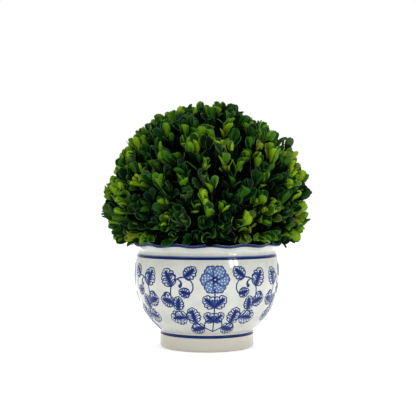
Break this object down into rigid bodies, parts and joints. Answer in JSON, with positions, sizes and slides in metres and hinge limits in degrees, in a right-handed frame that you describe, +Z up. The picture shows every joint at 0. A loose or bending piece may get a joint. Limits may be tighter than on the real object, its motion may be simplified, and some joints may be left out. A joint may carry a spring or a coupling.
{
  "type": "potted preserved box topiary ball",
  "caption": "Clipped ball of small glossy box leaves sunk in a blue and white glazed ceramic pot with a waved rim.",
  "frame": {"origin": "middle of the pot's flat foot, on the surface it stands on", "axes": "+Z up along the plant's axis, -Y towards the front, +X to the front's right"},
  "size_m": [0.2032, 0.2032, 0.2413],
  "materials": {
    "glazed_pot": "gloss",
    "blue_paint": "gloss",
    "foam": "matte",
    "bark": "matte",
    "leaves": "satin"
  },
  "bodies": {
    "root": {"pot": "glazed_pot", "foam_plug": "foam", "stem": "bark", "bough_1": "bark", "bough_2": "bark", "bough_3": "bark", "bough_4": "bark", "bough_5": "bark", "bough_6": "bark", "crown": "leaves"}
  },
  "joints": []
}
